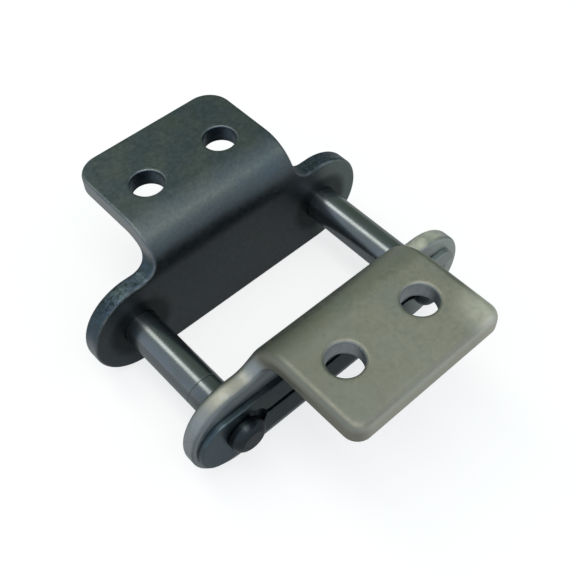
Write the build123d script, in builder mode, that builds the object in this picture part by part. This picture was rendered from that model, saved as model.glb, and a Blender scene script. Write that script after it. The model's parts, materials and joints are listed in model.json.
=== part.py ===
from build123d import *

import os

# Connecting link of a 38.1 mm pitch conveyor chain, with a bent lug on each of its two link plates.
#
# Two pins join a rear and a front plate. The pins are riveted in the rear plate. The front plate slides
# over their free ends, and a flat spring clip in the pins' grooves keeps it on. Each plate carries a
# lug that is bent outwards, with two bolt holes for a flight or a slat.
#
# Frame: X runs along the chain, +Y points from the clip side to the riveted side, +Z is up. The origin
# lies midway between the pins and the plates, at the level of the plates' lower edges, on which the
# link stands. All lengths are in millimetres.

# Chain sizes
pitch = 38.1
pin_diameter = 5.96
inner_spacing = 20.4

# Link plates
plate_thickness = 3.2
plate_height = 17.2
plate_end_reach = 8.3
plate_rim_bevel = 0.5
plate_rim_ease = 0.2

# Bent lugs
lug_width = 28.2
lug_top_above_pins = 15.1
lug_reach = 31.5
lug_corner_radius = 3.5
lug_neck_radius = 3.0
bend_inside_radius = 4.3

# Bolt holes in the lugs
bolt_hole_diameter = 5.4
bolt_hole_spacing = 14.3
rear_bolt_hole_reach = 21.1
front_bolt_hole_reach = 22.2
bolt_hole_rim_bevel = 0.25

# Fits of the pins in the plates, as radial clearances
riveted_clearance = 0.01
sliding_clearance = 0.05

# Pins
rivet_head_diameter = 7.0
rivet_head_height = 1.2
rivet_head_bevel = 0.5
groove_diameter = 4.4
free_end_length = 3.3
free_end_bevel = 0.9
free_end_ease = 0.35
turned_line_inset = 2.0
turned_line_width = 0.3
turned_line_depth = 0.06

# Spring clip
clip_thickness = 1.05
clip_height = 10.2
clip_closed_end_inset = 0.7
clip_open_end_inset = 1.7
clip_side_play = 0.1
clip_seat_clearance = 0.1
clip_entry_clearance = 0.15
clip_entry_offset = 1.2
clip_slot_width = 1.2
clip_throat_width = 3.6
clip_mouth_width = 4.4
clip_leg_corner_radius = 2.4
clip_mouth_corner_radius = 0.4
clip_rim_bevel = 0.15

# Worked out from the sizes above
pin_level = plate_height / 2
pin_x = pitch / 2
pin_radius = pin_diameter / 2
groove_radius = groove_diameter / 2
plate_length = pitch + 2 * plate_end_reach
inner_face = inner_spacing / 2
outer_face = inner_face + plate_thickness
lug_top = pin_level + lug_top_above_pins
lug_underside = lug_top - plate_thickness
bend_outside_radius = bend_inside_radius + plate_thickness
bend_level = lug_top - bend_outside_radius
bend_centre_y = inner_face + bend_outside_radius
groove_front = outer_face + clip_thickness + clip_side_play
pin_tip = outer_face + free_end_length
clip_seat_radius = groove_radius + clip_seat_clearance
clip_entry_radius = pin_radius + clip_entry_clearance

# A rounded corner takes at most this share of the straight stretch that it stands on: the neck of the
# stretch between the lug and the plate's round end, and the clip's leg end of what its mouth leaves
corner_share = 0.97
neck_room = (plate_length - plate_height - lug_width) / 2
neck_radius = min(lug_neck_radius, corner_share * neck_room)
leg_end_room = (clip_height - clip_mouth_width) / 2 - clip_mouth_corner_radius
leg_end_radius = min(clip_leg_corner_radius, corner_share * leg_end_room)

# Two faces meet in a corner, and not in a smooth join, above this angle in degrees
corner_angle = 30


def corner_edges(solid):
    """Edges of a solid at which two faces meet at a corner."""
    corners = ShapeList()
    faces = solid.faces()
    for edge in solid.edges():
        middle = edge @ 0.5
        normals = [face.normal_at(middle) for face in faces if edge in face.edges()]
        if len(normals) == 2 and normals[0].get_angle(normals[1]) > corner_angle:
            corners.append(edge)
    return corners


def bolt_hole_rims(solid):
    """Both rims of each bolt hole."""
    circles = solid.edges().filter_by(GeomType.CIRCLE)
    return circles.filter_by(lambda edge: edge.radius == bolt_hole_diameter / 2)


# Stamping of a link plate, on the +Y side and before its holes: a straight-sided plate with round ends,
# and a narrower lug that rises from its middle and is bent outwards
with BuildPart() as stamping:
    # The bent sheet, seen along the chain
    with BuildSketch(Plane.YZ):
        with BuildLine():
            Polyline((inner_face, 0), (inner_face, bend_level))
            CenterArc((bend_centre_y, bend_level), bend_outside_radius, 90, 90)
            Polyline(
                (bend_centre_y, lug_top),
                (lug_reach, lug_top),
                (lug_reach, lug_underside),
                (bend_centre_y, lug_underside),
            )
            CenterArc((bend_centre_y, bend_level), bend_inside_radius, 90, 90)
            Polyline((outer_face, bend_level), (outer_face, 0), (inner_face, 0))
        make_face()
    extrude(amount=plate_length / 2, both=True)
    # The blank's outline, seen across the chain, with a hollow neck on each side of the lug
    with BuildSketch(Plane.XZ) as outline:
        with Locations((0, pin_level)):
            SlotOverall(plate_length, plate_height)
            Rectangle(lug_width, lug_top_above_pins, align=(Align.CENTER, Align.MIN))
        upper_side = outline.vertices().group_by(Axis.Y)[-2].sort_by(Axis.X)
        fillet(upper_side[1:-1], radius=neck_radius)
    extrude(amount=-lug_reach, mode=Mode.INTERSECT)
    # The lug's outer corners
    fillet(stamping.edges().filter_by(Axis.Z).group_by(Axis.Y)[-1], radius=lug_corner_radius)
    # The tumbled rims of both faces, bevelled and then eased
    chamfer(corner_edges(stamping.part), length=plate_rim_bevel)
    chamfer(corner_edges(stamping.part), length=plate_rim_ease)

# Rear plate, in which the pins are riveted
with BuildPart() as rear_attachment_plate:
    add(stamping.part)
    with Locations(Plane.XY.offset(lug_top)):
        with Locations((0, rear_bolt_hole_reach)):
            with GridLocations(bolt_hole_spacing, 0, 2, 1):
                Hole(bolt_hole_diameter / 2, depth=plate_thickness)
    chamfer(bolt_hole_rims(rear_attachment_plate.part), length=bolt_hole_rim_bevel)
    with BuildSketch(Plane.XZ.offset(-inner_face)):
        with Locations((0, pin_level)):
            with GridLocations(pitch, 0, 2, 1):
                Circle(pin_radius + riveted_clearance)
    extrude(amount=-plate_thickness, mode=Mode.SUBTRACT)

# Front plate, which slides over the pins
with BuildPart() as front_attachment_plate:
    mirror(stamping.part, about=Plane.XZ)
    with Locations(Plane.XY.offset(lug_top)):
        with Locations((0, -front_bolt_hole_reach)):
            with GridLocations(bolt_hole_spacing, 0, 2, 1):
                Hole(bolt_hole_diameter / 2, depth=plate_thickness)
    chamfer(bolt_hole_rims(front_attachment_plate.part), length=bolt_hole_rim_bevel)
    with BuildSketch(Plane.XZ.offset(inner_face)):
        with Locations((0, pin_level)):
            with GridLocations(pitch, 0, 2, 1):
                Circle(pin_radius + sliding_clearance)
    extrude(amount=plate_thickness, mode=Mode.SUBTRACT)

# Pin, turned about its own axis: riveted head, shank with a fine turned line, clip groove, round tip
turned_line_y = turned_line_inset - inner_face
with BuildPart() as left_pin:
    with BuildSketch(Plane.XY.offset(pin_level)):
        with BuildLine():
            Polyline(
                (-pin_x, outer_face + rivet_head_height),
                (-pin_x + rivet_head_diameter / 2, outer_face + rivet_head_height),
                (-pin_x + rivet_head_diameter / 2, outer_face),
                (-pin_x + pin_radius, outer_face),
                (-pin_x + pin_radius, turned_line_y + turned_line_width / 2),
                (-pin_x + pin_radius - turned_line_depth, turned_line_y),
                (-pin_x + pin_radius, turned_line_y - turned_line_width / 2),
                (-pin_x + pin_radius, -outer_face),
                (-pin_x + groove_radius, -outer_face),
                (-pin_x + groove_radius, -groove_front),
                (-pin_x + pin_radius, -groove_front),
                (-pin_x + pin_radius, -pin_tip),
                (-pin_x, -pin_tip),
                close=True,
            )
        make_face()
    revolve(axis=Axis((-pin_x, 0, pin_level), (0, 1, 0)))
    chamfer(left_pin.edges().group_by(Axis.Y)[-1], length=rivet_head_bevel)
    chamfer(left_pin.edges().group_by(Axis.Y)[0], length=free_end_bevel)
    free_end_y = free_end_bevel - pin_tip
    free_end_edges = left_pin.edges().filter_by_position(Axis.Y, -pin_tip - 1, free_end_y + free_end_ease)
    chamfer(free_end_edges.filter_by(GeomType.CIRCLE), length=free_end_ease)

with BuildPart() as right_pin:
    mirror(left_pin.part, about=Plane.YZ)

# Spring clip on the front plate's outer face. Its closed end hooks the left groove, its two legs run
# to the right on either side of a slot, and their jaws grip the right groove
clip_end_radius = clip_height / 2
clip_left = clip_closed_end_inset - plate_length / 2
clip_right = plate_length / 2 - clip_open_end_inset
with BuildPart() as spring_clip:
    with BuildSketch(Plane.XZ.offset(outer_face)) as clip_outline:
        with Locations((clip_left + clip_end_radius, pin_level)):
            Circle(clip_end_radius)
            Rectangle(clip_right - clip_left - clip_end_radius, clip_height, align=(Align.MIN, Align.CENTER))
        # Seat and entry of the left pin
        with Locations((-pin_x, pin_level)):
            Circle(clip_seat_radius, mode=Mode.SUBTRACT)
        with Locations((clip_entry_offset - pin_x, pin_level)):
            Circle(clip_entry_radius, mode=Mode.SUBTRACT)
        # Slot between the legs
        with Locations((0, pin_level)):
            Rectangle(pitch, clip_slot_width, mode=Mode.SUBTRACT)
        # Seat of the right pin, and the mouth that leads to it
        with Locations((pin_x, pin_level)):
            Circle(clip_seat_radius, mode=Mode.SUBTRACT)
        with BuildLine():
            Polyline(
                (pin_x, pin_level + clip_throat_width / 2),
                (pin_x + clip_seat_radius, pin_level + clip_throat_width / 2),
                (clip_right, pin_level + clip_mouth_width / 2),
                (clip_right, pin_level - clip_mouth_width / 2),
                (pin_x + clip_seat_radius, pin_level - clip_throat_width / 2),
                (pin_x, pin_level - clip_throat_width / 2),
                close=True,
            )
        make_face(mode=Mode.SUBTRACT)
        leg_ends = clip_outline.vertices().group_by(Axis.X)[-1].sort_by(Axis.Y)
        fillet(leg_ends[1:-1], radius=clip_mouth_corner_radius)
        leg_ends = clip_outline.vertices().group_by(Axis.X)[-1].sort_by(Axis.Y)
        fillet([leg_ends[0], leg_ends[-1]], radius=leg_end_radius)
    extrude(amount=clip_thickness)
    chamfer(spring_clip.faces().filter_by(Axis.Y).edges(), length=clip_rim_bevel)

os.makedirs("parts", exist_ok=True)

rear_attachment_plate.part.label = "rear_attachment_plate"
export_step(rear_attachment_plate.part, "parts/rear_attachment_plate.step")

front_attachment_plate.part.label = "front_attachment_plate"
export_step(front_attachment_plate.part, "parts/front_attachment_plate.step")

left_pin.part.label = "left_pin"
export_step(left_pin.part, "parts/left_pin.step")

right_pin.part.label = "right_pin"
export_step(right_pin.part, "parts/right_pin.step")

spring_clip.part.label = "spring_clip"
export_step(spring_clip.part, "parts/spring_clip.step")
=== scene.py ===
"""Looks of an attachment chain link: a connecting link whose two plates carry bent, drilled lugs.

Two plates, two pins and a spring clip are made around the frame as fine surfaces, in metres. The plates are
bent sheets with rounded rims, the pins are turned, and the clip is a flat stamping.
"""

import json
import math

import bmesh
import bpy
import numpy as np
from mathutils import Matrix, Vector


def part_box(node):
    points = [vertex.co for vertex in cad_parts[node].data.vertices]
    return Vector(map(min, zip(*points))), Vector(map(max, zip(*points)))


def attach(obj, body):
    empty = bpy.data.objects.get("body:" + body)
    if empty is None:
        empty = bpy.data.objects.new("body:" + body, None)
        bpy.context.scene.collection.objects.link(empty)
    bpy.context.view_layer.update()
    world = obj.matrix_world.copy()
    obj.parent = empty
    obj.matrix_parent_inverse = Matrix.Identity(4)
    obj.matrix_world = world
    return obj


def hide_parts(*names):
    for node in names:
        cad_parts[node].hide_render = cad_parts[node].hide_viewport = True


bl_info = {
    "name": "Attachment Chain Link",
    "version": (1, 0, 0),
    "blender": (4, 5, 0),
    "location": "View3D > Sidebar > Chain Link",
    "description": "Makes the plates, pins and spring clip of an attachment chain link, and a plain stage",
    "category": "Object",
}

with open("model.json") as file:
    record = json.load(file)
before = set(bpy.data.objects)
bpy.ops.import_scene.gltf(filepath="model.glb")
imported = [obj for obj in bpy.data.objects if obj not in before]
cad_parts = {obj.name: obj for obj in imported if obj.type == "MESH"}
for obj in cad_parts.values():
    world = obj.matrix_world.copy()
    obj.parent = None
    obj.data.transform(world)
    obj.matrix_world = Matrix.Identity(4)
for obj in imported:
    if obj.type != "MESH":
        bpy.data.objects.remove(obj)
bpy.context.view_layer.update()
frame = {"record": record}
rear_low, rear_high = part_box("rear_attachment_plate")
pin_low, pin_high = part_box("right_pin")
clip_low, clip_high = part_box("spring_clip")
mounts = {mount["name"]: mount for mount in frame["record"]["mounts"]}

MM = 0.001
MERGE_DISTANCE = 1e-7

# Levels and reaches that the frame gives
PLATE_END = rear_high.x
INNER_FACE = rear_low.y
LUG_REACH = rear_high.y
LUG_TOP = rear_high.z
PIN_X = (pin_low.x + pin_high.x) / 2
PIN_LEVEL = (pin_low.z + pin_high.z) / 2
PIN_TIP = -pin_low.y
RIVET_FACE = pin_high.y
CLIP_BACK = -clip_high.y
CLIP_FRONT = -clip_low.y
CLIP_LEFT = clip_low.x
CLIP_RIGHT = clip_high.x
CLIP_HALF_HEIGHT = (clip_high.z - clip_low.z) / 2
HOLE_X = mounts["rear_lug_holes"]["dims"]["spacing_x_mm"] * MM / 2
HOLE_RADIUS = mounts["rear_lug_holes"]["dims"]["hole_r_mm"] * MM
REAR_HOLE_REACH = mounts["rear_lug_holes"]["pos_m"][1]
FRONT_HOLE_REACH = -mounts["front_lug_holes"]["pos_m"][1]

# Where the patches of a plate meet, and how finely the shared edges are divided
FOOT_HALF = 10 * MM
WEB_LEVEL = 14.5 * MM
SHOULDER_LEVEL = 15.8 * MM
SHELF_LEVEL = 16.6 * MM
LUG_GAP = 0.1 * MM
SOLE_STEPS = 36
WING_STEPS = 24
FOOT_STEPS = 24
END_STEPS = 16
LUG_STEPS = 14
MIDDLE_STEPS = 26

# How finely the pins are turned, and the reach and share of the dark mark at their ends and turned lines;
# over the groove, the free end and the line it is painted shade
PIN_STEPS = 96
CORNER_STEPS = 8
END_MARGIN = 0.2 * MM
LINE_SHADE = 0.3

# The clip's outline is worn round at its corners, over these ways along it
WEAR_SPACING = 0.03 * MM
OUTER_WEAR = 0.2 * MM
INNER_WEAR = 0.5 * MM
CLIP_COUNTS = (80, 44, 90)
CLIP_FACE_STEPS = 8

# Spans over which the plates' finish changes, and bands with a rise and a fall. Heights come first, then ways
# along and across the chain, and then shares of the sheet's depth and of a rim's turn into the wall.
BEND_DRIFT = 1 * MM
BEND_SHADE = (23.4 * MM, 18.5 * MM)
CRUST = ((14 * MM, 16 * MM), (18 * MM, 17 * MM))
LOW_EDGE = (13 * MM, 8 * MM)
LUG_LEVEL = (18.5 * MM, 21 * MM)
RIM_SHADE_LEVEL = (20 * MM, 22 * MM)
SHOULDER_HIGHLIGHT_RISE = (12.5 * MM, 16 * MM)
SHOULDER_HIGHLIGHT = ((14.5 * MM, 17 * MM), (26 * MM, 22 * MM))
LUG_FLANK = (11 * MM, 12 * MM)
LEFT_FLANK_SHADE = (-11 * MM, -13.5 * MM)
SHADE_DRIFT = 6 * MM
LEFT_SHADE_SPAN = (4 * MM, -12 * MM)
RIGHT_HALF = (0.0, 1 * MM)
RIGHT_END = (17 * MM, 22 * MM)
LUG_FRONT = (26 * MM, 27 * MM)
LUG_LIGHT_SPAN = (-17 * MM, -33 * MM)
PIN_OIL = (6.5 * MM, 4.5 * MM)
CORNER_HIGHLIGHT = (13 * MM, -29.5 * MM, 23 * MM)
CORNER_HIGHLIGHT_REACH = (6 * MM, 1 * MM)
OUTER_FACE = (0.70, 0.95)
SHEAR_SHADE = (0.72, 1.0)
TORN_DEPTH = (0.35, 0.75)
WALL = (0.45, 1.0)
RIM_SHADE_TURN = ((0.0, 0.25), (0.80, 0.45))
WORN_LIT_TURN = ((0.10, 0.55), (0.99, 0.65))

# The same for the pins and the clip
BETWEEN_PINS = (-1 * MM, 1 * MM)
UNDERSIDE = (PIN_LEVEL + 0.5 * MM, PIN_LEVEL - 1.2 * MM)
CLIP_RIM = (0.2, 0.8)
OPEN_END = (12 * MM, 19 * MM)
CLOSED_END = (-15 * MM, -23 * MM)

# Floor, in metres, the room's light by direction, and camera
FLOOR_HALF = 1.5
ROOM_AXIS = (0.6, 0.8, 0)
ROOM_SPAN = (-0.15, 0.75)
BAND_HEIGHT = 0.08
SENSOR_WIDTH = 36
CLIP_START = 5 * MM


def length(name, description, default):
    """Property for a length in metres."""
    return bpy.props.FloatProperty(
        name=name, description=description, default=default, min=0, precision=5, unit="LENGTH"
    )


def angle(name, description, degrees):
    """Property for an angle, given in degrees."""
    return bpy.props.FloatProperty(
        name=name, description=description, default=math.radians(degrees), subtype="ANGLE"
    )


def share(name, description, default):
    """Property for a number from 0 to 1."""
    return bpy.props.FloatProperty(
        name=name, description=description, default=default, min=0, max=1, subtype="FACTOR"
    )


def colour(name, description, default):
    """Property for a linear colour."""
    return bpy.props.FloatVectorProperty(
        name=name, description=description, default=default, size=3, min=0, max=1, subtype="COLOR"
    )


def power(name, description, default):
    """Property for a lamp's power in watts."""
    return bpy.props.FloatProperty(
        name=name, description=description, default=default, min=0, unit="POWER"
    )


class PlateSettings(bpy.types.PropertyGroup):
    """Sizes and colours of the two link plates"""

    thickness: length("Thickness", "Thickness of the sheet", 3.2 * MM)
    lug_width: length("Lug width", "Width of each bent lug along the chain", 28.2 * MM)
    neck_radius: length("Neck radius", "Hollow radius between the plate and its lug", 3.0 * MM)
    bend_radius: length("Bend radius", "Radius of the bend's outside", 7.5 * MM)
    bore_radius: length("Bore radius", "Radius of the pin bores", 3.01 * MM)
    bore_rim: length("Bore rim", "Rounding of the pin bores' rims", 0.08 * MM)
    waist: angle("Waist", "Turn of the round end at which the web begins", 43)
    # Painted light: the front lug's top brightens towards its end, where the lamp's reflection lies
    front_lug_light: share("Front wear", "Brightening of the front lug towards its end", 0.35)


# What differs between the plates: kind, key and description, then the rear and the front plate's default
PLATE_PAIRS = (
    (length, "corner", "Radius of the lug's outer corners", 4.2 * MM, 2.4 * MM),
    (length, "inner_rim", "Rounding of the rims on the inner face", 0.5 * MM, 1.3 * MM),
    (length, "outer_rim", "Rounding of the rims on the outer face", 0.85 * MM, 0.6 * MM),
    (length, "hole_rim", "Rounding of the bolt holes' rims", 0.3 * MM, 0.5 * MM),
    (share, "roughness", "Roughness of the steel", 0.38, 0.50),
    (colour, "face", "Steel of the inner face and lug", (0.155, 0.178, 0.174), (0.385, 0.378, 0.305)),
    (colour, "tint", "Clouds in the finish", (0.122, 0.155, 0.172), (0.345, 0.352, 0.300)),
    # low: painted shade, darkening the upright sheet below the bend, which takes less light than the lug's
    # top
    (colour, "low", "Dark steel below the bend", (0.080, 0.094, 0.100), (0.135, 0.160, 0.178)),
    (colour, "outer", "Steel of the outer face", (0.060, 0.075, 0.078), (0.300, 0.330, 0.340)),
    # end: painted light, paler steel where the plate reaches out from under the lug's shade
    (colour, "end", "Paler steel at the right end", (0.150, 0.190, 0.178), (0.480, 0.520, 0.490)),
    (colour, "cut", "Bluish steel of the sheared edges", (0.100, 0.136, 0.178), (0.430, 0.458, 0.470)),
    (colour, "scale", "Scale on the sheared edges", (0.060, 0.085, 0.075), (0.345, 0.370, 0.380)),
    (colour, "lug_cut", "Greyer steel of the lug's edges", (0.360, 0.375, 0.385), (0.560, 0.545, 0.455)),
    # bare: steel worn bare at the rims, also the colour of the front plate's painted light and highlights
    (colour, "bare", "Steel where the rims are rubbed", (0.330, 0.335, 0.330), (0.450, 0.435, 0.370)),
)
for kind, key, description, *defaults in PLATE_PAIRS:
    for plate, default in zip(("rear", "front"), defaults):
        label = f"{plate} {key}".replace("_", " ").capitalize()
        setting = kind(label, f"{description}, {plate} plate", default)
        PlateSettings.__annotations__[f"{plate}_{key}"] = setting


class PinSettings(bpy.types.PropertyGroup):
    """Sizes and colours of the two pins"""

    radius: length("Radius", "Radius of the shank", 2.98 * MM)
    groove_radius: length("Groove radius", "Radius of the clip's groove", 2.2 * MM)
    tip_rounding: length("Tip rounding", "Rounding of the free end", 1.2 * MM)
    head_radius: length("Head radius", "Radius of the riveted head", 3.5 * MM)
    head_height: length("Head height", "Height of the riveted head", 1.2 * MM)
    crown: length("Crown", "Height of the riveted head's crown", 0.12 * MM)
    groove_gap: length("Groove gap", "Gap between the clip and its groove's front wall", 0.1 * MM)
    line_half: length("Line half", "Half the turned line's width", 0.16 * MM)
    line_depth: length("Line depth", "Depth of the turned line", 0.05 * MM)
    left_inset: length("Left line inset", "Way from the front plate to the left pin's line", 4.9 * MM)
    right_inset: length("Right line inset", "Way from the front plate to the right pin's line", 2.0 * MM)
    steel: colour("Steel", "Ground steel of the pins", (0.222, 0.243, 0.256))
    stain: colour("Stain", "Oil stains on the pins", (0.180, 0.195, 0.185))
    # Painted reflections on the pins' undersides: bluish on the left pin, darker on the right one, whose
    # reflected floor lies in shade
    left_underside_reflection: colour("Left film", "Bluish oil film on the left pin's underside", (0.205, 0.265, 0.300))
    right_underside_reflection: colour("Right film", "Dark oil film on the right pin's underside", (0.105, 0.135, 0.160))
    # end: dark steel of the riveted head, and painted shade over the free end and the groove
    end: colour("Ends", "Dark steel of the pins' ends", (0.045, 0.055, 0.060))


class ClipSettings(bpy.types.PropertyGroup):
    """Sizes and colours of the spring clip"""

    seat_radius: length("Seat radius", "Radius of both pin seats", 2.3 * MM)
    entry_radius: length("Entry radius", "Radius of the closed end's entry hole", 3.13 * MM)
    entry_offset: length("Entry offset", "Way from the left seat to the entry hole", 1.2 * MM)
    slot_width: length("Slot width", "Width of the slot between the legs", 1.2 * MM)
    throat_width: length("Throat width", "Width between the jaws behind the right seat", 3.6 * MM)
    mouth_width: length("Mouth width", "Width between the legs at their ends", 4.4 * MM)
    leg_corner: length("Leg corner", "Radius of the legs' outer corners", 2.4 * MM)
    cut_back: length("Cut-back", "Shortening of the legs against the frame's clip", 0.9 * MM)
    rim: length("Rim", "Rounding of the clip's rims", 0.15 * MM)
    # steel is kept dark partly as painted shade from the lug above; closed and worn are painted light, paler
    # where the clip's ends reach out from under the lug
    steel: colour("Steel", "Blued spring steel", (0.052, 0.067, 0.073))
    tint: colour("Tint", "Straw and green tints in the bluing", (0.046, 0.064, 0.062))
    closed: colour("Closed end", "Bluer steel of the clip's closed end", (0.095, 0.130, 0.148))
    worn: colour("Worn end", "Greyer steel of the clip's open end", (0.330, 0.365, 0.355))


class StageSettings(bpy.types.PropertyGroup):
    """Camera, lamps and floor"""

    azimuth: angle("Azimuth", "Turn of the camera round the link", -40.56)
    elevation: angle("Elevation", "Angle of the camera above the floor", 52.82)
    roll: angle("Roll", "Turn of the camera about its own axis", -1.87)
    distance: length("Distance", "Way from the pins' middle to the camera", 141.72 * MM)
    shift_right: length("Shift right", "Camera's step to its right", 1.79 * MM)
    shift_up: length("Shift up", "Camera's step upwards", 1.52 * MM)
    lens: bpy.props.FloatProperty(
        name="Lens", description="Focal length for a 36 mm wide sensor", default=56.035, unit="CAMERA"
    )
    floor: colour("Floor", "Pale floor", (0.36, 0.36, 0.36))
    floor_lift: share("Floor lift", "Brightness that the camera sees on top of the floor's own", 0.73)
    gloss_lift: share("Gloss lift", "Share of the lift that reflections see", 0.22)
    room_near: colour("Near room", "Soft light of the room's near side", (0.56, 0.64, 0.72))
    room_far: colour("Far room", "Dimmer light of the room's far side", (0.22, 0.28, 0.23))
    lamp: colour("Lamp", "Colour of the long soft lamp above", (1.0, 0.965, 0.88))
    lamp_power: power("Lamp power", "Power of the long soft lamp above", 0.88)
    lamp_width: length("Lamp width", "Width of the lamp along the chain", 140 * MM)
    lamp_length: length("Lamp length", "Length of the lamp across the chain", 800 * MM)
    lamp_height: length("Lamp height", "Height of the lamp above the floor", 420 * MM)
    lamp_left: length("Lamp left", "Way of the lamp to the left of the link", 50 * MM)
    lamp_back: length("Lamp back", "Way of the lamp behind the link", 60 * MM)
    side_power: power("Side power", "Power of the small lamp in front", 0.07)
    side_size: length("Side size", "Side of the small square lamp in front", 90 * MM)
    side_lamp: colour("Side lamp", "Warm light of the small lamp in front", (1.0, 0.93, 0.72))
    side_right: length("Side right", "Way of the small lamp to the right of the link", 200 * MM)
    side_front: length("Side front", "Way of the small lamp in front of the link", 220 * MM)


class ChainLinkSettings(bpy.types.PropertyGroup):
    """All sizes and colours of the attachment chain link"""

    plates: bpy.props.PointerProperty(type=PlateSettings)
    pins: bpy.props.PointerProperty(type=PinSettings)
    clip: bpy.props.PointerProperty(type=ClipSettings)
    stage: bpy.props.PointerProperty(type=StageSettings)


def line(start, end, steps):
    """Straight stretch of an outline, start + t * (end - start), with its normal on the right-hand side."""
    start, end = np.array(start, float), np.array(end, float)
    t = np.linspace(0, 1, steps + 1)[:, None]
    along = (end - start) / np.linalg.norm(end - start)
    points = start + t * (end - start)
    return np.hstack([points, np.tile([along[1], -along[0]], (steps + 1, 1))])


def arc(centre, radius, first, last, steps):
    """Round stretch of an outline, centre + radius * (cos a, sin a), with a from first to last degrees.

    The normal points away from the centre on an anticlockwise arc and towards it on a hollow, clockwise one.
    """
    a = np.radians(np.linspace(first, last, steps + 1))
    radial = np.stack([np.cos(a), np.sin(a)], axis=1)
    side = 1 if last > first else -1
    return np.hstack([np.array(centre) + radius * radial, side * radial])


def join(*stretches):
    """One path of stretches that meet end to end."""
    return np.vstack([stretches[0]] + [stretch[1:] for stretch in stretches[1:]])


def mirrored(path):
    """The same path on the other side of the vertical axis, run the other way."""
    return path[::-1] * [-1, 1, -1, 1]


def inset(path, distance):
    """The path's points, moved inwards against their normals."""
    return path[:, :2] - distance * path[:, 2:]


def rays(centre, loop):
    """Unit directions from the centre to each point of the loop."""
    away = loop - centre
    return away / np.linalg.norm(away, axis=1, keepdims=True)


def ring(circle, loop, rows):
    """Ruled patch from a circle or edge to a loop: point (t, k) = circle(k) + t * (loop(k) - circle(k))."""
    t = np.linspace(0, 1, rows + 1)[:, None, None]
    return circle + t * (loop - circle)


def rim_profile(first_radius, last_radius, thickness, curve_steps, wall_steps):
    """Section of a rounded rim, as inset from the edge, depth from the first face, and wall share.

    A quarter circle, r * (1 - sin a) inwards and r * (1 - cos a) deep, leads over the first rim. A straight
    wall follows, and the mirrored quarter circle leads over the last rim. The wall share is sin a on the
    quarter circles and 1 on the wall.
    """
    a = np.linspace(0, math.pi / 2, curve_steps + 1)
    across, deep = 1 - np.sin(a), 1 - np.cos(a)
    first = np.stack([first_radius * across, first_radius * deep, np.sin(a)], axis=1)
    last = np.stack([last_radius * across, thickness - last_radius * deep, np.sin(a)], axis=1)
    t = np.linspace(0, 1, wall_steps + 1)[1:-1, None]
    wall = first[-1] + t * (last[-1] - first[-1])
    return np.vstack([first, wall, last[::-1]])


class Skin:
    """Collects patches of points with their finish attributes and makes one closed mesh of them."""

    def __init__(self):
        self.points = []
        self.marks = []
        self.faces = []
        self.count = 0

    def add(self, grid, wall=0.0, depth=0.0):
        """Adds a grid of points with their two marks, and a quad between each four neighbours."""
        rows, columns = grid.shape[:2]
        index = self.count + np.arange(rows * columns).reshape(rows, columns)
        corners = [index[:-1, :-1], index[:-1, 1:], index[1:, 1:], index[1:, :-1]]
        self.faces.append(np.stack(corners, axis=-1).reshape(-1, 4))
        self.points.append(grid.reshape(-1, 3))
        marks = [np.broadcast_to(mark, (rows, columns)).reshape(-1) for mark in (wall, depth)]
        self.marks.append(np.stack(marks, axis=1))
        self.count += rows * columns

    def make(self, name, finish):
        """Makes the object: doubles merged, normals outwards, smooth, with the finish on it."""
        mesh = bpy.data.meshes.new(name)
        faces = np.vstack(self.faces)
        mesh.from_pydata(np.vstack(self.points), [], faces)
        marks = np.vstack(self.marks)
        for column, mark in enumerate(("wall", "depth")):
            layer = mesh.attributes.new(mark, "FLOAT", "POINT")
            layer.data.foreach_set("value", marks[:, column].astype(np.float32))
        shell = bmesh.new()
        shell.from_mesh(mesh)
        bmesh.ops.remove_doubles(shell, verts=shell.verts, dist=MERGE_DISTANCE)
        bmesh.ops.dissolve_degenerate(shell, edges=shell.edges, dist=MERGE_DISTANCE)
        bmesh.ops.recalc_face_normals(shell, faces=shell.faces)
        open_edges = sum(len(edge.link_faces) != 2 for edge in shell.edges)
        if open_edges:
            raise RuntimeError(f"{name} has {open_edges} open edges")
        shell.to_mesh(mesh)
        shell.free()
        mesh.shade_smooth()
        mesh.materials.append(finish)
        piece = bpy.data.objects.new(name, mesh)
        bpy.context.scene.collection.objects.link(piece)
        return piece


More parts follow.
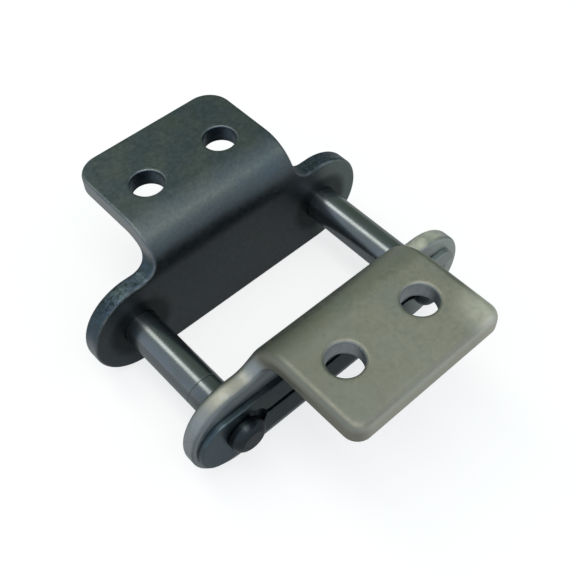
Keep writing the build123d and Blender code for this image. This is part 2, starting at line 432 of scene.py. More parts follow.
class PlateBlank:
    """Outline and holes of a link plate before it is bent, in blank coordinates.

    The first coordinate runs along the chain, and the second one up the sheet's inner face, round the bend
    and out along the lug's top.
    """

    def __init__(self, plates, name, hole_reach):
        self.corner_radius = getattr(plates, name + "_corner")
        self.inner_rim = getattr(plates, name + "_inner_rim")
        self.outer_rim = getattr(plates, name + "_outer_rim")
        self.hole_rim = getattr(plates, name + "_hole_rim")
        self.bore_radius = plates.bore_radius
        self.bore_rim = plates.bore_rim
        self.thickness = plates.thickness
        self.bend_radius = plates.bend_radius
        self.bend_level = LUG_TOP - plates.bend_radius
        self.bend_y = INNER_FACE + plates.bend_radius
        self.bend_end = self.bend_level + plates.bend_radius * math.pi / 2
        self.lug_end = self.bend_end + LUG_REACH - self.bend_y
        self.hole = np.array([HOLE_X, self.bend_end + hole_reach - self.bend_y])
        self.bore = np.array([PIN_X, PIN_LEVEL])
        self.set_outline(plates)
        loops = self.loops(0)[2:]
        self.bore_rays = rays(self.bore, loops[0])
        self.hole_rays = rays(self.hole, loops[1])

    def set_outline(self, plates):
        """Right half of the outline, in the stretches that the patches share."""
        height = 2 * PIN_LEVEL
        end_x = PLATE_END - PIN_LEVEL
        half_lug = plates.lug_width / 2
        neck_x = half_lug + plates.neck_radius
        neck_level = self.neck_level = height + plates.neck_radius
        corner_x = half_lug - self.corner_radius
        corner_level = self.lug_end - self.corner_radius
        waist = math.degrees(plates.waist)
        lug_level = self.bend_end + LUG_GAP
        end_centre = (end_x, PIN_LEVEL)
        self.foot_edge = line((-FOOT_HALF, 0), (FOOT_HALF, 0), SOLE_STEPS)
        self.sole = line((FOOT_HALF, 0), (end_x, 0), 18)
        self.end = arc(end_centre, PIN_LEVEL, -90, waist, 44)
        self.shoulder = arc(end_centre, PIN_LEVEL, waist, 90, 16)
        self.shelf = line((end_x, height), (neck_x, height), 4)
        self.neck = arc((neck_x, neck_level), plates.neck_radius, 270, 180, 16)
        self.flank = line((half_lug, neck_level), (half_lug, lug_level), 26)
        self.side = line((half_lug, lug_level), (half_lug, corner_level), 22)
        self.corner = arc((corner_x, corner_level), self.corner_radius, 0, 90, 14)
        self.top = line((corner_x, self.lug_end), (0, self.lug_end), 20)
        # Levels at which the web's rows leave the middle of the sheet
        levels = [WEB_LEVEL, SHOULDER_LEVEL, SHELF_LEVEL, neck_level, lug_level]
        steps = [len(part) - 1 for part in (self.shoulder, self.shelf, self.neck, self.flank)]
        pieces = [np.linspace(a, b, n + 1)[1:] for a, b, n in zip(levels, levels[1:], steps)]
        self.row_levels = np.concatenate([levels[:1]] + pieces)

    def outline(self):
        """The whole outline, anticlockwise from the sole's middle stretch."""
        right = join(self.sole, self.end, self.shoulder, self.shelf, self.neck, self.flank)
        right = join(right, self.side, self.corner, self.top)
        return join(self.foot_edge, right, mirrored(right))

    def loops(self, rim):
        """Web and foot of one face, inside its rim, and the loops round the right bore and bolt hole.

        The web's rows run between both sides of the outline: across = w * side, with w from -1 to 1, and
        level = own + (side's own - own) * w**4. The foot is ruled between the sole and the web's first row.
        """
        side = inset(join(self.shoulder, self.shelf, self.neck, self.flank), rim)
        cut = FOOT_HALF / side[0, 0]
        wing = np.linspace(cut, 1, WING_STEPS + 1)
        w = np.concatenate([-wing[::-1], np.linspace(-cut, cut, SOLE_STEPS + 1)[1:-1], wing])
        own = self.row_levels[:, None]
        level = own + (side[:, 1:] - own) * w**4
        web = np.stack([w * side[:, :1], level], axis=-1)
        middle, right = len(w) // 2, len(w) - len(wing)
        foot = ring(inset(self.foot_edge, rim), web[0, WING_STEPS:right + 1], FOOT_STEPS)
        end_loop = [inset(join(self.sole, self.end), rim), web[0, right:-1][::-1], foot[:-1, -1][::-1]]
        lug_edge = inset(join(self.side, self.corner, self.top), rim)
        middle_line = np.linspace(lug_edge[-1], web[-1, middle], MIDDLE_STEPS + 1)
        lug_loop = [web[-1, middle:-1], lug_edge, middle_line[1:]]
        return web, foot, np.vstack(end_loop), np.vstack(lug_loop)

    def face(self, rim, hole_radius, bore_radius):
        """Patches of one face inside its rims: web, foot, and a ring out from each bore and bolt hole."""
        web, foot, end_loop, lug_loop = self.loops(rim)
        end = ring(self.bore + bore_radius * self.bore_rays, end_loop, END_STEPS)
        lug = ring(self.hole + hole_radius * self.hole_rays, lug_loop, LUG_STEPS)
        flip = np.array([-1, 1])
        return web, foot, end, end * flip, lug, lug * flip

    def bend(self, blank, depth, side):
        """Folds blank points into space, at a depth below the sheet's inner face.

        Up to the neck's end a level is a height, because the neck is cut straight through the bend, and the
        angle round the bend is asin((level - start) / (radius - depth)). From there the angle grows evenly
        with the level, up to a right angle. The point lies at centre - (radius - depth) * cos(angle) outwards
        and centre + (radius - depth) * sin(angle) up, and what lies before or after the bend is straight.
        """
        level = blank[..., 1]
        reach = self.bend_radius - depth
        neck = (self.neck_level - self.bend_level) / reach
        cut = np.arcsin(np.clip((level - self.bend_level) / reach, 0, neck))
        t = np.clip((level - self.neck_level) / (self.bend_end - self.neck_level), 0, 1)
        angle = cut + t * (math.pi / 2 - np.arcsin(neck))
        y = self.bend_y - reach * np.cos(angle) + np.maximum(level - self.bend_end, 0)
        z = self.bend_level + reach * np.sin(angle) + np.minimum(level - self.bend_level, 0)
        return np.stack([blank[..., 0], side * y, z], axis=-1)

    def skin(self, side):
        """All patches of the bent plate: both faces, the outline's rim, and the rims of bores and holes."""
        skin = Skin()
        for rim, depth in ((self.inner_rim, 0), (self.outer_rim, self.thickness)):
            for patch in self.face(rim, HOLE_RADIUS + self.hole_rim, self.bore_radius + self.bore_rim):
                skin.add(self.bend(patch, depth, side), depth=depth / self.thickness)
        section = rim_profile(self.inner_rim, self.outer_rim, self.thickness, 8, 6)
        self.add_rim(skin, self.outline(), section, side)
        holes = (
            (self.hole, self.hole_rays, HOLE_RADIUS, self.hole_rim, 1),
            (self.bore, self.bore_rays, self.bore_radius, self.bore_rim, 0),
        )
        for centre, outward, radius, rim, mark in holes:
            section = rim_profile(rim, rim, self.thickness, 5, 8) * [1, 1, mark]
            wall = np.hstack([centre + radius * outward, -outward])
            self.add_rim(skin, wall, section, side)
            self.add_rim(skin, wall * [-1, 1, -1, 1], section, side)
        return skin

    def add_rim(self, skin, path, section, side):
        """Carries a rim's section along a path: each point moves inwards by the inset, down by the depth."""
        across, depth, wall = section[:, 0], section[:, 1], section[:, 2]
        blank = path[None, :, :2] - across[:, None, None] * path[None, :, 2:]
        skin.add(self.bend(blank, depth[:, None], side), wall[:, None], depth[:, None] / self.thickness)


def rounded(corners, radii, steps):
    """Path through the corners, each rounded by a tangent arc.

    With h half the angle between a corner's sides, the arc touches them radius / tan(h) away, and its centre
    lies radius / sin(h) along their bisector. The arc turns evenly from the first touching point to the last.
    """
    corners, radii = np.array(corners, float), np.array(radii, float)[:, None]
    before, here, after = corners[:-2], corners[1:-1], corners[2:]
    a = (before - here) / np.linalg.norm(before - here, axis=1, keepdims=True)
    b = (after - here) / np.linalg.norm(after - here, axis=1, keepdims=True)
    half = np.arccos(np.clip((a * b).sum(1, keepdims=True), -1, 1)) / 2
    bisector = (a + b) / np.linalg.norm(a + b, axis=1, keepdims=True)
    centre = here + bisector * radii / np.sin(half)
    start = here + a * radii / np.tan(half) - centre
    end = here + b * radii / np.tan(half) - centre
    turn = math.pi - 2 * half[:, None]
    t = np.linspace(0, 1, steps + 1)[None, :, None]
    arcs = (np.sin((1 - t) * turn) * start[:, None] + np.sin(t * turn) * end[:, None]) / np.sin(turn)
    arcs = centre[:, None] + arcs
    return np.vstack([corners[:1], arcs.reshape(-1, 2), corners[-1:]])


def pin_skin(pins, x):
    """A pin, turned about its own axis.

    Each point of its profile, at a way along the pin and a radius r, goes round as
    (x + r * cos a, along, level + r * sin a). The profile gives each corner with its rounding in millimetres.
    """
    front = -CLIP_FRONT - pins.groove_gap
    back = -CLIP_BACK
    line_at = (pins.left_inset if x < 0 else pins.right_inset) - INNER_FACE
    line_half = pins.line_half
    bottom = RIVET_FACE - pins.head_height
    r, groove, head = pins.radius, pins.groove_radius, pins.head_radius
    tip = pins.tip_rounding
    profile = [
        ((-PIN_TIP, 0), 0),
        ((-PIN_TIP, r - tip), 0.8),
        ((-PIN_TIP + tip * 0.3, r - tip * 0.3), 1.4),
        ((-PIN_TIP + tip, r), 0.8),
        ((front, r), 0.08),
        ((front, groove), 0.06),
        ((back, groove), 0.06),
        ((back, r), 0.06),
        ((line_at - line_half, r), 0.03),
        ((line_at, r - pins.line_depth), 0.03),
        ((line_at + line_half, r), 0.03),
        ((bottom, r), 0.02),
        ((bottom, head), 0.1),
        ((RIVET_FACE - pins.crown, head), 0.5),
        ((RIVET_FACE, head * 0.45), 2.0),
        ((RIVET_FACE, 0), 0),
    ]
    corners = [point for point, radius in profile]
    radii = [radius * MM for point, radius in profile[1:-1]]
    path = rounded(corners, radii, CORNER_STEPS)
    along, radius = path[:, 0], path[:, 1]
    # Dark riveted head; over the free end and groove the dark mark is painted shade, and along the turned
    # line too
    ends = (along < back + END_MARGIN) | (along > bottom)
    dark = ends + LINE_SHADE * (np.abs(along - line_at) < line_half)
    a = np.linspace(0, 2 * math.pi, PIN_STEPS + 1)
    across, up = radius[:, None] * np.cos(a), radius[:, None] * np.sin(a)
    grid = np.stack(np.broadcast_arrays(x + across, along[:, None], PIN_LEVEL + up), axis=-1)
    skin = Skin()
    skin.add(grid, wall=dark[:, None])
    return skin


def run_along(path):
    """Way along the path to each of its points."""
    return np.concatenate([[0], np.cumsum(np.linalg.norm(np.diff(path, axis=0), axis=1))])


def at_ways(path, ways):
    """The path's points at the given ways along it."""
    run = run_along(path)
    return np.stack([np.interp(ways, run, path[:, k]) for k in (0, 1)], axis=1)


def softened(path, spacing, reach):
    """The path with its corners worn round: each point is the mean of those within reach, both ends held."""
    run = run_along(path)[-1]
    dense = at_ways(path, np.linspace(0, run, int(run / spacing) + 1))
    half = int(reach / spacing)
    before = 2 * dense[0] - dense[half:0:-1]
    after = 2 * dense[-1] - dense[-2:-2 - half:-1]
    padded = np.vstack([before, dense, after])
    weights = np.hanning(2 * half + 3)[1:-1]
    weights /= weights.sum()
    return np.stack([np.convolve(padded[:, k], weights, mode="valid") for k in (0, 1)], axis=1)


def stations(path, places, counts):
    """The path in stretches that end where its first coordinate passes each place, each evenly divided.

    That coordinate never falls along the path.
    """
    run = run_along(path)
    marks = [0, *np.interp(places, path[:, 0], run), run[-1]]
    stretches = [np.linspace(a, b, n + 1)[1:] for a, b, n in zip(marks, marks[1:], counts)]
    return at_ways(path, np.concatenate([[0], *stretches]))


def clip_chains(clip):
    """Upper half of the clip's outline, as an outer and an inner chain from its closed end to a leg's end.

    Both are joined from lines and arcs, worn round, and divided so that facing points lie across the leg.
    """
    half = CLIP_HALF_HEIGHT
    end_x = CLIP_LEFT + half
    leg_end = CLIP_RIGHT - clip.cut_back
    seat, entry, slot = clip.seat_radius, clip.entry_radius, clip.slot_width / 2
    throat, mouth = clip.throat_width / 2, clip.mouth_width / 2
    corner = clip.leg_corner
    tip = (mouth + half - corner) / 2
    outer = join(
        arc((end_x, 0), half, 180, 90, 80),
        line((end_x, half), (leg_end - corner, half), 80),
        arc((leg_end - corner, half - corner), corner, 90, 0, 24),
        line((leg_end, half - corner), (leg_end, tip), 4),
    )[:, :2]
    # The entry hole meets the left seat where both circles have the same height
    offset = clip.entry_offset
    entry_x = offset - PIN_X
    seat_end = math.degrees(math.acos((offset**2 + seat**2 - entry**2) / (2 * offset * seat)))
    entry_start = math.degrees(math.acos((seat**2 - offset**2 - entry**2) / (2 * offset * entry)))
    entry_end = math.degrees(math.asin(slot / entry))
    right_start = 180 - math.degrees(math.asin(slot / seat))
    right_end = math.degrees(math.asin(throat / seat))
    left_slot = (entry_x + entry * math.cos(math.radians(entry_end)), slot)
    right_slot = (PIN_X + seat * math.cos(math.radians(right_start)), slot)
    jaw = (PIN_X + seat * math.cos(math.radians(right_end)), throat)
    jaw_end = (PIN_X + seat, throat)
    inner = join(
        arc((-PIN_X, 0), seat, 180, seat_end, 60),
        arc((entry_x, 0), entry, entry_start, entry_end, 80),
        line(left_slot, right_slot, 80),
        arc((PIN_X, 0), seat, right_start, right_end, 60),
        line(jaw, jaw_end, 8),
        line(jaw_end, (leg_end, mouth), 24),
        line((leg_end, mouth), (leg_end, tip), 4),
    )[:, :2]
    places = [left_slot[0], right_slot[0]]
    outer = stations(softened(outer, WEAR_SPACING, OUTER_WEAR), places, CLIP_COUNTS)
    inner = stations(softened(inner, WEAR_SPACING, INNER_WEAR), places, CLIP_COUNTS)
    return outer, inner


def clip_skin(clip):
    """The clip: both faces ruled between its outer and inner chains, and a rim carried along both."""
    outer, inner = clip_chains(clip)
    upper = np.vstack([outer, inner[-2::-1]])
    loop = np.vstack([upper, (upper * [1, -1])[-2:0:-1]])
    ahead, behind = np.roll(loop, -1, axis=0), np.roll(loop, 1, axis=0)
    along = (ahead - behind) / np.linalg.norm(ahead - behind, axis=1, keepdims=True)
    path = np.hstack([loop, -along[:, 1:], along[:, :1]])
    thickness = CLIP_FRONT - CLIP_BACK
    section = rim_profile(clip.rim, clip.rim, thickness, 5, 3)

    def placed(flat, depth):
        """Puts flat points on the front plate, with the clip's height measured from the pins' level."""
        y = np.broadcast_to(-CLIP_BACK - depth, flat.shape[:-1])
        return np.stack([flat[..., 0], y, PIN_LEVEL + flat[..., 1]], axis=-1)

    skin = Skin()
    blank = path[None, :, :2] - section[:, 0, None, None] * path[None, :, 2:]
    blank = np.concatenate([blank, blank[:, :1]], axis=1)
    skin.add(placed(blank, section[:, 1, None]), section[:, 2, None], section[:, 1, None] / thickness)
    edge = inset(path, clip.rim)
    chain = len(outer)
    first, last = edge[:chain], edge[chain - 1:len(upper)][::-1]
    half_face = ring(first, last, CLIP_FACE_STEPS)
    for depth in (0, thickness):
        for patch in (half_face, half_face * [1, -1]):
            skin.add(placed(patch, depth), depth=depth / thickness)
    return skin


def toned(tone, factor):
    """The colour, darkened or brightened by a factor."""
    return tuple(factor * part for part in tone)


class Nodes:
    """The node tree of a material or world, with short ways to add nodes to it."""

    def __init__(self, owner):
        owner.use_nodes = True
        self.tree = owner.node_tree

    def node(self, kind, inputs=(), **settings):
        """Adds a node with its settings, and sets or links its inputs, given as (name or index, value)."""
        node = self.tree.nodes.new("ShaderNode" + kind)
        for key, value in settings.items():
            setattr(node, key, value)
        for key, value in inputs:
            self.feed(node.inputs[key], value)
        return node

    def feed(self, socket, value):
        """Links an output to a socket, or sets the socket's value."""
        if isinstance(value, bpy.types.NodeSocket):
            self.tree.links.new(value, socket)
        elif socket.type == "RGBA" and len(value) == 3:
            socket.default_value = (*value, 1)
        else:
            socket.default_value = value

    def math(self, operation, *values):
        """Combines numbers."""
        return self.node("Math", enumerate(values), operation=operation).outputs[0]

    def product(self, first, second):
        """Multiplies two numbers."""
        return self.math("MULTIPLY", first, second)

    def ramp(self, value, span, reach=(0.0, 1.0)):
        """Maps a value smoothly from a span onto a reach."""
        inputs = enumerate((value, *span, *reach))
        return self.node("MapRange", inputs, interpolation_type="SMOOTHSTEP").outputs[0]

    def band(self, value, rise, fall, share=1.0):
        """Maps a value onto a band, up to a share over the rise and down to nothing over the fall."""
        return self.product(self.ramp(value, rise, (0.0, share)), self.ramp(value, fall))

    def mix(self, factor, first, second):
        """Mixes two colours."""
        inputs = ((0, factor), (6, first), (7, second))
        return self.node("Mix", data_type="RGBA", clamp_factor=True, inputs=inputs).outputs[2]


class Finish(Nodes):
    """A metal's material, with its patterns on the object's own coordinates."""

    def __init__(self, name):
        self.material = bpy.data.materials.new(name)
        super().__init__(self.material)
        self.shader = self.tree.nodes["Principled BSDF"]
        self.place = self.node("TexCoord").outputs["Object"]
        split = self.node("SeparateXYZ", ((0, self.place),)).outputs
        self.x, self.y, self.z = (split[axis] for axis in "XYZ")

    def noise(self, size, detail=4.0, roughness=0.55, stretch=(1, 1, 1)):
        """Noise with features of about the given size in metres, stretched along the object's axes."""
        scale = tuple(1 / (size * part) for part in stretch)
        mapping = self.node("Mapping", (("Vector", self.place), ("Scale", scale))).outputs[0]
        inputs = (("Vector", mapping), ("Scale", 1.0), ("Detail", detail), ("Roughness", roughness))
        return self.node("TexNoise", inputs).outputs["Fac"]

    def patches(self, size, span, detail=4.0, roughness=0.55, stretch=(1, 1, 1), reach=(0.0, 1.0)):
        """Noise, mapped smoothly from a span onto a reach."""
        return self.ramp(self.noise(size, detail, roughness, stretch), span, reach)

    def lay(self, base, top, mask, share):
        """Lays a colour over the base where the mask is, at a share of its strength."""
        return self.mix(self.product(mask, share), base, top)

    def distance(self, place, centre):
        """Way from a place to a fixed centre."""
        return self.node("VectorMath", ((0, place), (1, centre)), operation="DISTANCE").outputs["Value"]

    def mark(self, name):
        """A number that the mesh carries at each vertex."""
        return self.node("Attribute", attribute_name=name, attribute_type="GEOMETRY").outputs["Fac"]

    def steel(self, base, rough, bumps):
        """Gives the material: plain metal of this colour and roughness, under stacked bumps.

        Each bump is given as (height, strength, distance in metres).
        """
        self.feed(self.shader.inputs["Base Color"], base)
        self.shader.inputs["Metallic"].default_value = 1.0
        self.feed(self.shader.inputs["Roughness"], rough)
        under = ()
        for height, strength, distance in bumps:
            inputs = (("Height", height), ("Strength", strength), ("Distance", distance), *under)
            under = (("Normal", self.node("Bump", inputs).outputs[0]),)
        self.feed(self.shader.inputs["Normal"], under[0][1])
        return self.material


class PlateFinish(Finish):
    """Sheet steel of one plate: cloudy faces, scaly sheared walls, and rims worn bare with a painted
    highlight, or darkened by painted shade.

    The front plate is worn, with painted light and shade on it: its lug gets brighter towards the end, and
    painted highlights lie on its shoulders and on its lug's right-hand corner.
    """

    def __init__(self, plates, name, worn):
        super().__init__(name + "_plate_steel")
        for key in ("face", "tint", "low", "outer", "end", "cut", "scale", "lug_cut", "bare", "roughness"):
            setattr(self, key, getattr(plates, f"{name}_{key}"))
        self.worn = worn
        self.lug_light = plates.front_lug_light
        self.wall = self.mark("wall")
        self.depth = self.mark("depth")
        self.along = self.math("ABSOLUTE", self.x)
        self.is_wall = self.ramp(self.wall, WALL)
        self.clouds = self.patches(5 * MM, (0.38, 0.66), 5)
        self.speckle = self.patches(0.45 * MM, (0.36, 0.66), 6, 0.7)

    def faces(self):
        """Cloudy faces with painted shade below the bend, darker round the pins, toned apart outside and at
        one end.
        """
        base = self.mix(self.clouds, self.face, self.tint)
        # Painted shade below the bend, its start made uneven by the clouds
        height = self.math("ADD", self.z, self.product(self.clouds, BEND_DRIFT))
        base = self.mix(self.ramp(height, BEND_SHADE), base, self.low)
        if self.worn:
            # Painted light, brightening the front lug towards its end
            base = self.mix(self.ramp(self.y, LUG_LIGHT_SPAN, (0.0, self.lug_light)), base, self.bare)
            # Painted shade, darker towards the left of the front plate, its edge made uneven by the clouds
            drifted = self.math("ADD", self.x, self.product(self.clouds, SHADE_DRIFT))
            base = self.lay(base, toned(self.tint, 0.6), self.ramp(drifted, LEFT_SHADE_SPAN), 0.45)
        base = self.lay(base, toned(self.low, 0.6), self.speckle, 0.10 if self.worn else 0.25)
        streaks = self.patches(0.6 * MM, (0.40, 0.72), 4, 0.6, (9, 1, 1))
        base = self.lay(base, self.face, streaks, 0.05)
        base = self.mix(self.ramp(self.depth, OUTER_FACE), base, self.outer)
        # Painted light at the right end, beyond the lug
        base = self.mix(self.ramp(self.x, RIGHT_END), base, self.end)
        # Oil darkens the face round the pins
        flat = self.node("CombineXYZ", ((0, self.along), (2, self.z))).outputs[0]
        oil = self.ramp(self.distance(flat, (PIN_X, 0, PIN_LEVEL)), PIN_OIL, (0.0, 0.85))
        return self.mix(oil, base, toned(self.low, 0.3))

    def edges(self):
        """Scaly sheared walls, greyer along the lug's edges and darker towards the outer face."""
        scaly = self.patches(2.2 * MM, (0.40, 0.68), 6, 0.7)
        edge = self.lay(self.cut, self.scale, scaly, 0.75)
        edge = self.lay(edge, toned(self.scale, 0.5), self.speckle, 0.20)
        if not self.worn:
            # Scale crusts the shoulders below the neck
            crust = self.band(self.z, *CRUST, 0.7)
            crumbs = self.patches(0.9 * MM, (0.42, 0.62), 5, 0.75)
            edge = self.mix(self.product(crust, crumbs), edge, toned(self.scale, 0.30))
        # The holes keep the bluish steel
        across = self.math("ABSOLUTE", self.y)
        lug_edge = self.math("MAXIMUM", self.ramp(self.along, LUG_FLANK), self.ramp(across, LUG_FRONT))
        lug_edge = self.product(lug_edge, self.ramp(self.z, LUG_LEVEL))
        edge = self.mix(lug_edge, edge, self.lug_cut)
        if self.worn:
            # Painted shade on the front lug's left flank, darker than its front wall
            left_flank_shade = self.product(lug_edge, self.ramp(self.x, LEFT_FLANK_SHADE, (0.0, 0.8)))
            edge = self.mix(left_flank_shade, edge, toned(self.lug_cut, 0.45))
            # Painted highlight on the plate's round, upward-facing shoulders, in patches and brighter on the
            # right
            shoulder = self.product(self.band(self.along, *SHOULDER_HIGHLIGHT), self.ramp(self.z, SHOULDER_HIGHLIGHT_RISE))
            highlight_patches = self.patches(1.4 * MM, (0.35, 0.65), reach=(0.55, 1.0))
            shoulder_highlight = self.mix(self.ramp(self.x, RIGHT_HALF), self.bare, toned(self.bare, 1.8))
            edge = self.mix(self.product(highlight_patches, shoulder), edge, shoulder_highlight)
        else:
            edge = self.mix(self.ramp(self.z, LOW_EDGE, (0.0, 0.9)), edge, self.lug_cut)
        return self.mix(self.ramp(self.depth, SHEAR_SHADE, (0.0, 0.7)), edge, toned(self.low, 0.4))

    def rims(self, base):
        """The turn between wall and face: worn bare with a painted highlight on the rear plate; painted shade
        on the worn front one, with a painted highlight at its lug's corner.
        """
        if self.worn:
            # Painted shade on the front lug's rims, darkening the lamps' highlight there
            rim_shade = self.product(self.band(self.wall, *RIM_SHADE_TURN), self.ramp(self.z, RIM_SHADE_LEVEL, (0.0, 0.55)))
            base = self.mix(rim_shade, base, toned(self.lug_cut, 0.40))
            # Painted highlight at the front lug's right-hand outer corner
            corner = self.ramp(self.distance(self.place, CORNER_HIGHLIGHT), CORNER_HIGHLIGHT_REACH, (0.0, 0.9))
            return self.mix(corner, base, toned(self.bare, 1.6))
        # Rims worn bare in patches on the rear plate, partly a painted highlight
        worn_and_lit = self.patches(1.6 * MM, (0.36, 0.66), 5, 0.65, reach=(0.0, 0.45))
        return self.mix(self.product(self.band(self.wall, *WORN_LIT_TURN), worn_and_lit), base, self.bare)

    def make(self):
        """The plate's material, rougher where the rear plate's sheared walls are torn."""
        base = self.rims(self.mix(self.is_wall, self.faces(), self.edges()))
        reach = (self.roughness - 0.05, self.roughness + 0.07)
        rough = self.patches(0.8 * MM, (0.3, 0.7), 5, 0.6, reach=reach)
        if not self.worn:
            torn = self.product(self.is_wall, self.ramp(self.depth, TORN_DEPTH, (0.0, 0.10)))
            rough = self.math("ADD", rough, torn)
        return self.steel(base, rough, (
            (self.noise(2.5 * MM, 3), 0.35, 0.020 * MM),
            (self.noise(0.12 * MM, 3, 0.6), 0.30, 0.010 * MM),
            (self.product(self.speckle, self.is_wall), 0.4, 0.020 * MM),
        ))


def pin_finish(pins):
    """Ground steel with fine rings round the pin, faint oil stains, a painted reflection below, and dark
    ends, partly painted shade.
    """
    finish = Finish("pin_steel")
    rings = finish.noise(0.16 * MM, 3, 0.6, (12, 1, 12))
    stains = finish.patches(3 * MM, (0.42, 0.70), 5, 0.6, (1, 2.5, 1))
    specks = finish.patches(0.35 * MM, (0.55, 0.75), 5, 0.7)
    ends = finish.mark("wall")
    base = finish.lay(pins.steel, pins.stain, stains, 0.6)
    base = finish.lay(base, toned(pins.steel, 0.5), specks, 0.25)
    # Painted reflection on the pins' undersides, bluish on the left and darker on the right
    underside_reflection = finish.mix(finish.ramp(finish.x, BETWEEN_PINS), pins.left_underside_reflection, pins.right_underside_reflection)
    base = finish.mix(finish.ramp(finish.z, UNDERSIDE), base, underside_reflection)
    # Dark ends, partly painted shade over the groove and the free end
    base = finish.mix(ends, base, pins.end)
    rough = finish.ramp(rings, (0.3, 0.7), (0.18, 0.25))
    rough = finish.math("ADD", rough, finish.product(stains, 0.03))
    rough = finish.math("ADD", rough, finish.product(ends, 0.12))
    return finish.steel(base, rough, ((rings, 0.15, 0.004 * MM), (specks, 0.15, 0.006 * MM)))


def clip_finish(clip):
    """Blued spring steel: smooth and dark, partly painted shade under the lug, with faint clouds, brighter
    rims, and painted light making both ends paler.
    """
    finish = Finish("clip_steel")
    clouds = finish.patches(3.5 * MM, (0.38, 0.66))
    speckle = finish.patches(0.4 * MM, (0.45, 0.72), 5, 0.65)
    base = finish.mix(clouds, clip.steel, clip.tint)
    base = finish.lay(base, toned(clip.steel, 0.6), speckle, 0.3)
    base = finish.mix(finish.ramp(finish.mark("wall"), CLIP_RIM, (0.0, 0.8)), base, toned(clip.steel, 1.6))
    # Painted light at both ends, where the clip reaches out from under the lug
    base = finish.mix(finish.ramp(finish.x, OPEN_END), base, clip.worn)
    base = finish.mix(finish.ramp(finish.x, CLOSED_END), base, clip.closed)
    rough = finish.patches(0.7 * MM, (0.3, 0.7), 5, 0.6, reach=(0.28, 0.40))
    waves = finish.noise(1.5 * MM)
    return finish.steel(base, rough, ((waves, 0.25, 0.012 * MM), (speckle, 0.15, 0.008 * MM)))


def settle(piece, node):
    """Puts a dressed piece in place of its node in the frame."""
    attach(piece, "root")
    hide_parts(node)


class CHAINLINK_OT_plates(bpy.types.Operator):
    """Makes the rear and the front attachment plate"""

    bl_idname = "chain_link.plates"
    bl_label = "Attachment Plates"

    def execute(self, context):
        """Bends both drilled blanks outwards."""
        plates = context.scene.chain_link.plates
        rear = PlateBlank(plates, "rear", REAR_HOLE_REACH).skin(1)
        rear = rear.make("rear_plate_dressed", PlateFinish(plates, "rear", worn=False).make())
        settle(rear, "rear_attachment_plate")
        front = PlateBlank(plates, "front", FRONT_HOLE_REACH).skin(-1)
        front = front.make("front_plate_dressed", PlateFinish(plates, "front", worn=True).make())
        settle(front, "front_attachment_plate")
        return {"FINISHED"}


class CHAINLINK_OT_pins(bpy.types.Operator):
    """Turns both pins"""

    bl_idname = "chain_link.pins"
    bl_label = "Pins"

    def execute(self, context):
        """Turns a pin at each end of the pitch."""
        pins = context.scene.chain_link.pins
        finish = pin_finish(pins)
        for name, x in (("left_pin", -PIN_X), ("right_pin", PIN_X)):
            settle(pin_skin(pins, x).make(name + "_dressed", finish), name)
        return {"FINISHED"}


class CHAINLINK_OT_clip(bpy.types.Operator):
    """Makes the spring clip"""

    bl_idname = "chain_link.clip"
    bl_label = "Spring Clip"

    def execute(self, context):
        """Stamps the clip and lays it on the front plate."""
        clip = context.scene.chain_link.clip
        settle(clip_skin(clip).make("spring_clip_dressed", clip_finish(clip)), "spring_clip")
        return {"FINISHED"}


def stage_floor(stage):
    """Pale floor that shows white to the camera and in reflections, and keeps the link's shadow."""
    half = FLOOR_HALF
    mesh = bpy.data.meshes.new("floor")
    corners = [(-half, -half, 0), (half, -half, 0), (half, half, 0), (-half, half, 0)]
    mesh.from_pydata(corners, [], [(0, 1, 2, 3)])
    floor = bpy.data.objects.new("floor", mesh)
    bpy.context.scene.collection.objects.link(floor)
    material = bpy.data.materials.new("pale_floor")
    nodes = Nodes(material)
    nodes.tree.nodes.clear()
    ray = nodes.node("LightPath").outputs
    diffuse = nodes.node("BsdfDiffuse", (("Color", stage.floor),)).outputs[0]
    seen = nodes.math("MULTIPLY_ADD", ray["Is Glossy Ray"], stage.gloss_lift, ray["Is Camera Ray"])
    glow = nodes.node("Emission", (("Strength", nodes.product(seen, stage.floor_lift)),)).outputs[0]
    both = nodes.node("AddShader", ((0, diffuse), (1, glow))).outputs[0]
    nodes.node("OutputMaterial", (("Surface", both),))
    mesh.materials.append(material)


def stage_world(stage):
    """Soft light of the room, dimmer on its far side, and white where the camera sees it.

    The light goes from the near colour to the far one with the direction's way along the room's axis. Gloss
    sees the white backdrop too, in a low band above the floor.
    """
    world = bpy.data.worlds.new("studio")
    bpy.context.scene.world = world
    nodes = Nodes(world)
    nodes.tree.nodes.clear()
    place = nodes.node("TexCoord").outputs["Generated"]
    away = nodes.node("VectorMath", ((0, place), (1, ROOM_AXIS)), operation="DOT_PRODUCT").outputs["Value"]
    tone = nodes.mix(nodes.ramp(away, ROOM_SPAN), stage.room_near, stage.room_far)
    room = nodes.node("Background", (("Color", tone),)).outputs[0]
    white = nodes.node("Background", (("Color", (1, 1, 1)),)).outputs[0]
    up = nodes.node("SeparateXYZ", ((0, place),)).outputs["Z"]
    low = nodes.node("MapRange", enumerate((up, 0.0, BAND_HEIGHT, 1.0, 0.0))).outputs[0]
    ray = nodes.node("LightPath").outputs
    seen = nodes.math("MAXIMUM", ray["Is Camera Ray"], nodes.product(ray["Is Glossy Ray"], low))
    pick = nodes.node("MixShader", ((0, seen), (1, room), (2, white))).outputs[0]
    nodes.node("OutputWorld", (("Surface", pick),))


def stage_lamp(name, place, width, depth, watts, tone):
    """Soft lamp above the link, tilted towards it about the axis across the chain."""
    data = bpy.data.lights.new(name, "AREA")
    data.shape = "RECTANGLE"
    data.size = width
    data.size_y = depth
    data.energy = watts
    data.color = tone
    lamp = bpy.data.objects.new(name, data)
    lamp.location = place
    lamp.rotation_euler = (0, math.atan2(place[0], place[2]), 0)
    bpy.context.scene.collection.objects.link(lamp)


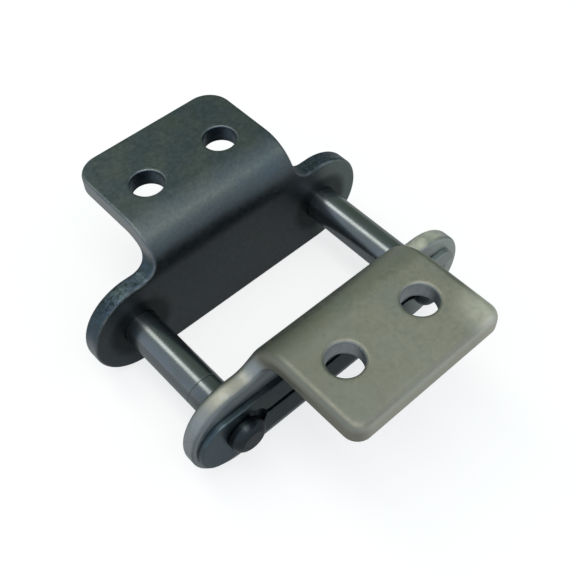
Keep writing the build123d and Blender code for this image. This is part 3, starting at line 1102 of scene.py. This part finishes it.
def stage_camera(stage):
    """Camera at the azimuth, elevation, distance and roll of the settings, aimed at the pins' middle."""
    a, e, r = stage.azimuth, stage.elevation, stage.roll
    back = Vector((math.sin(a) * math.cos(e), -math.cos(a) * math.cos(e), math.sin(e)))
    right = Vector((math.cos(a), math.sin(a), 0))
    up = back.cross(right)
    rolled_right = math.cos(r) * right + math.sin(r) * up
    rolled_up = math.cos(r) * up - math.sin(r) * right
    eye = Vector((0, 0, PIN_LEVEL)) + back * stage.distance
    eye += rolled_right * stage.shift_right + rolled_up * stage.shift_up
    data = bpy.data.cameras.new("camera")
    data.sensor_width = SENSOR_WIDTH
    data.lens = stage.lens
    data.clip_start = CLIP_START
    camera = bpy.data.objects.new("camera", data)
    columns = (rolled_right, rolled_up, back, eye)
    camera.matrix_world = Matrix([[column[row] for column in columns] for row in range(3)] + [[0, 0, 0, 1]])
    bpy.context.scene.collection.objects.link(camera)
    bpy.context.scene.camera = camera


class CHAINLINK_OT_stage(bpy.types.Operator):
    """Makes the floor, the light and the camera"""

    bl_idname = "chain_link.stage"
    bl_label = "Stage"

    def execute(self, context):
        """Sets up the stage round the link."""
        stage = context.scene.chain_link.stage
        stage_floor(stage)
        stage_world(stage)
        place = (-stage.lamp_left, stage.lamp_back, stage.lamp_height)
        stage_lamp("long_lamp", place, stage.lamp_width, stage.lamp_length, stage.lamp_power, stage.lamp)
        place = (stage.side_right, -stage.side_front, stage.lamp_height)
        side = stage.side_size
        stage_lamp("side_lamp", place, side, side, stage.side_power, stage.side_lamp)
        stage_camera(stage)
        context.scene.view_settings.view_transform = "Standard"
        return {"FINISHED"}


class CHAINLINK_PT_panel(bpy.types.Panel):
    """Sidebar panel with a button for each part of the link and its settings"""

    bl_idname = "CHAINLINK_PT_panel"
    bl_label = "Attachment Chain Link"
    bl_space_type = "VIEW_3D"
    bl_region_type = "UI"
    bl_category = "Chain Link"

    def draw(self, context):
        """Lists the operators, each with its settings below."""
        settings = context.scene.chain_link
        groups = (
            ("chain_link.plates", settings.plates),
            ("chain_link.pins", settings.pins),
            ("chain_link.clip", settings.clip),
            ("chain_link.stage", settings.stage),
        )
        for operator, group in groups:
            box = self.layout.box()
            box.operator(operator)
            for name in group.__annotations__:
                box.prop(group, name)


CLASSES = (
    PlateSettings,
    PinSettings,
    ClipSettings,
    StageSettings,
    ChainLinkSettings,
    CHAINLINK_OT_plates,
    CHAINLINK_OT_pins,
    CHAINLINK_OT_clip,
    CHAINLINK_OT_stage,
    CHAINLINK_PT_panel,
)


def register():
    """Registers the classes and the scene's settings."""
    for cls in CLASSES:
        bpy.utils.register_class(cls)
    bpy.types.Scene.chain_link = bpy.props.PointerProperty(type=ChainLinkSettings)


def unregister():
    """Takes the settings and the classes away again."""
    del bpy.types.Scene.chain_link
    for cls in reversed(CLASSES):
        bpy.utils.unregister_class(cls)


def main():
    """Makes every piece and the stage."""
    register()
    bpy.ops.chain_link.plates()
    bpy.ops.chain_link.pins()
    bpy.ops.chain_link.clip()
    bpy.ops.chain_link.stage()


if __name__ == "__main__":
    main()
